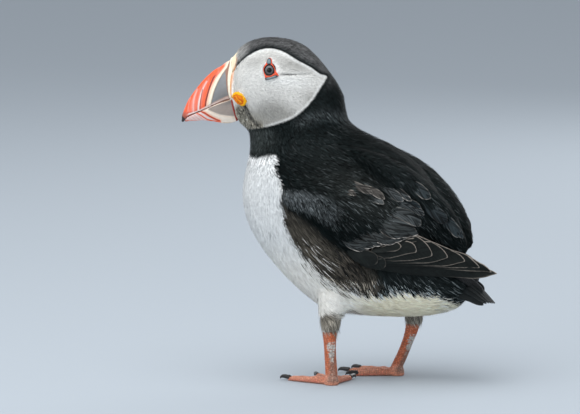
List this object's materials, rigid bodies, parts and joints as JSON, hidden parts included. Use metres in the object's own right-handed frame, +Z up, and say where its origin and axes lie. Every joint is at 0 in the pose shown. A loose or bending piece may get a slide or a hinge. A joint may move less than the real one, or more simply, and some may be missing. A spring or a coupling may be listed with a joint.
{
  "type": "atlantic puffin",
  "caption": "Life-size still model of a standing Atlantic puffin, a seabird with a tall banded bill and folded wings, on webbed feet.",
  "frame": {"origin": "on the floor under the middle of the bird's box, in the plane that halves its body", "axes": "+Z up, the bill points along -Y, the bird's left side is +X"},
  "size_m": [0.091, 0.1924, 0.2068],
  "materials": {
    "face_feathers": "soft pale grey-white feathers with a dark crown",
    "black_feathers": "black feathers with a faint sheen",
    "trunk_feathers": "black back, white breast and belly",
    "thigh_feathers": "short grey-brown feathers",
    "bill_horn": "grooved horn in blue-grey, cream and orange-red",
    "cream_horn": "pale cream horn",
    "gape_skin": "wrinkled yellow and orange skin",
    "eye": "wet dark eyeball",
    "eye_rim": "red bare skin",
    "eye_plate": "blue-grey horn",
    "leg_skin": "scaled orange skin",
    "claw": "black horn"
  },
  "bodies": {
    "root": {"bill_base_band": "cream_horn", "bill_lower": "bill_horn", "bill_upper": "bill_horn", "claw_inner_left": "claw", "claw_inner_right": "claw", "claw_middle_left": "claw", "claw_middle_right": "claw", "claw_outer_left": "claw", "claw_outer_right": "claw", "eye_left": "eye", "eye_plate_lower_left": "eye_plate", "eye_plate_lower_right": "eye_plate", "eye_plate_upper_left": "eye_plate", "eye_plate_upper_right": "eye_plate", "eye_right": "eye", "eye_rim_left": "eye_rim", "eye_rim_right": "eye_rim", "foot_left": "leg_skin", "foot_right": "leg_skin", "gape_rosette_left": "gape_skin", "gape_rosette_right": "gape_skin", "head": "face_feathers", "neck": "black_feathers", "primaries_left": "black_feathers", "primaries_right": "black_feathers", "scapulars_left": "black_feathers", "scapulars_right": "black_feathers", "shank_left": "leg_skin", "shank_right": "leg_skin", "tail": "black_feathers", "thigh_left": "thigh_feathers", "thigh_right": "thigh_feathers", "trunk": "trunk_feathers", "wing_left": "black_feathers", "wing_right": "black_feathers"}
  },
  "joints": []
}
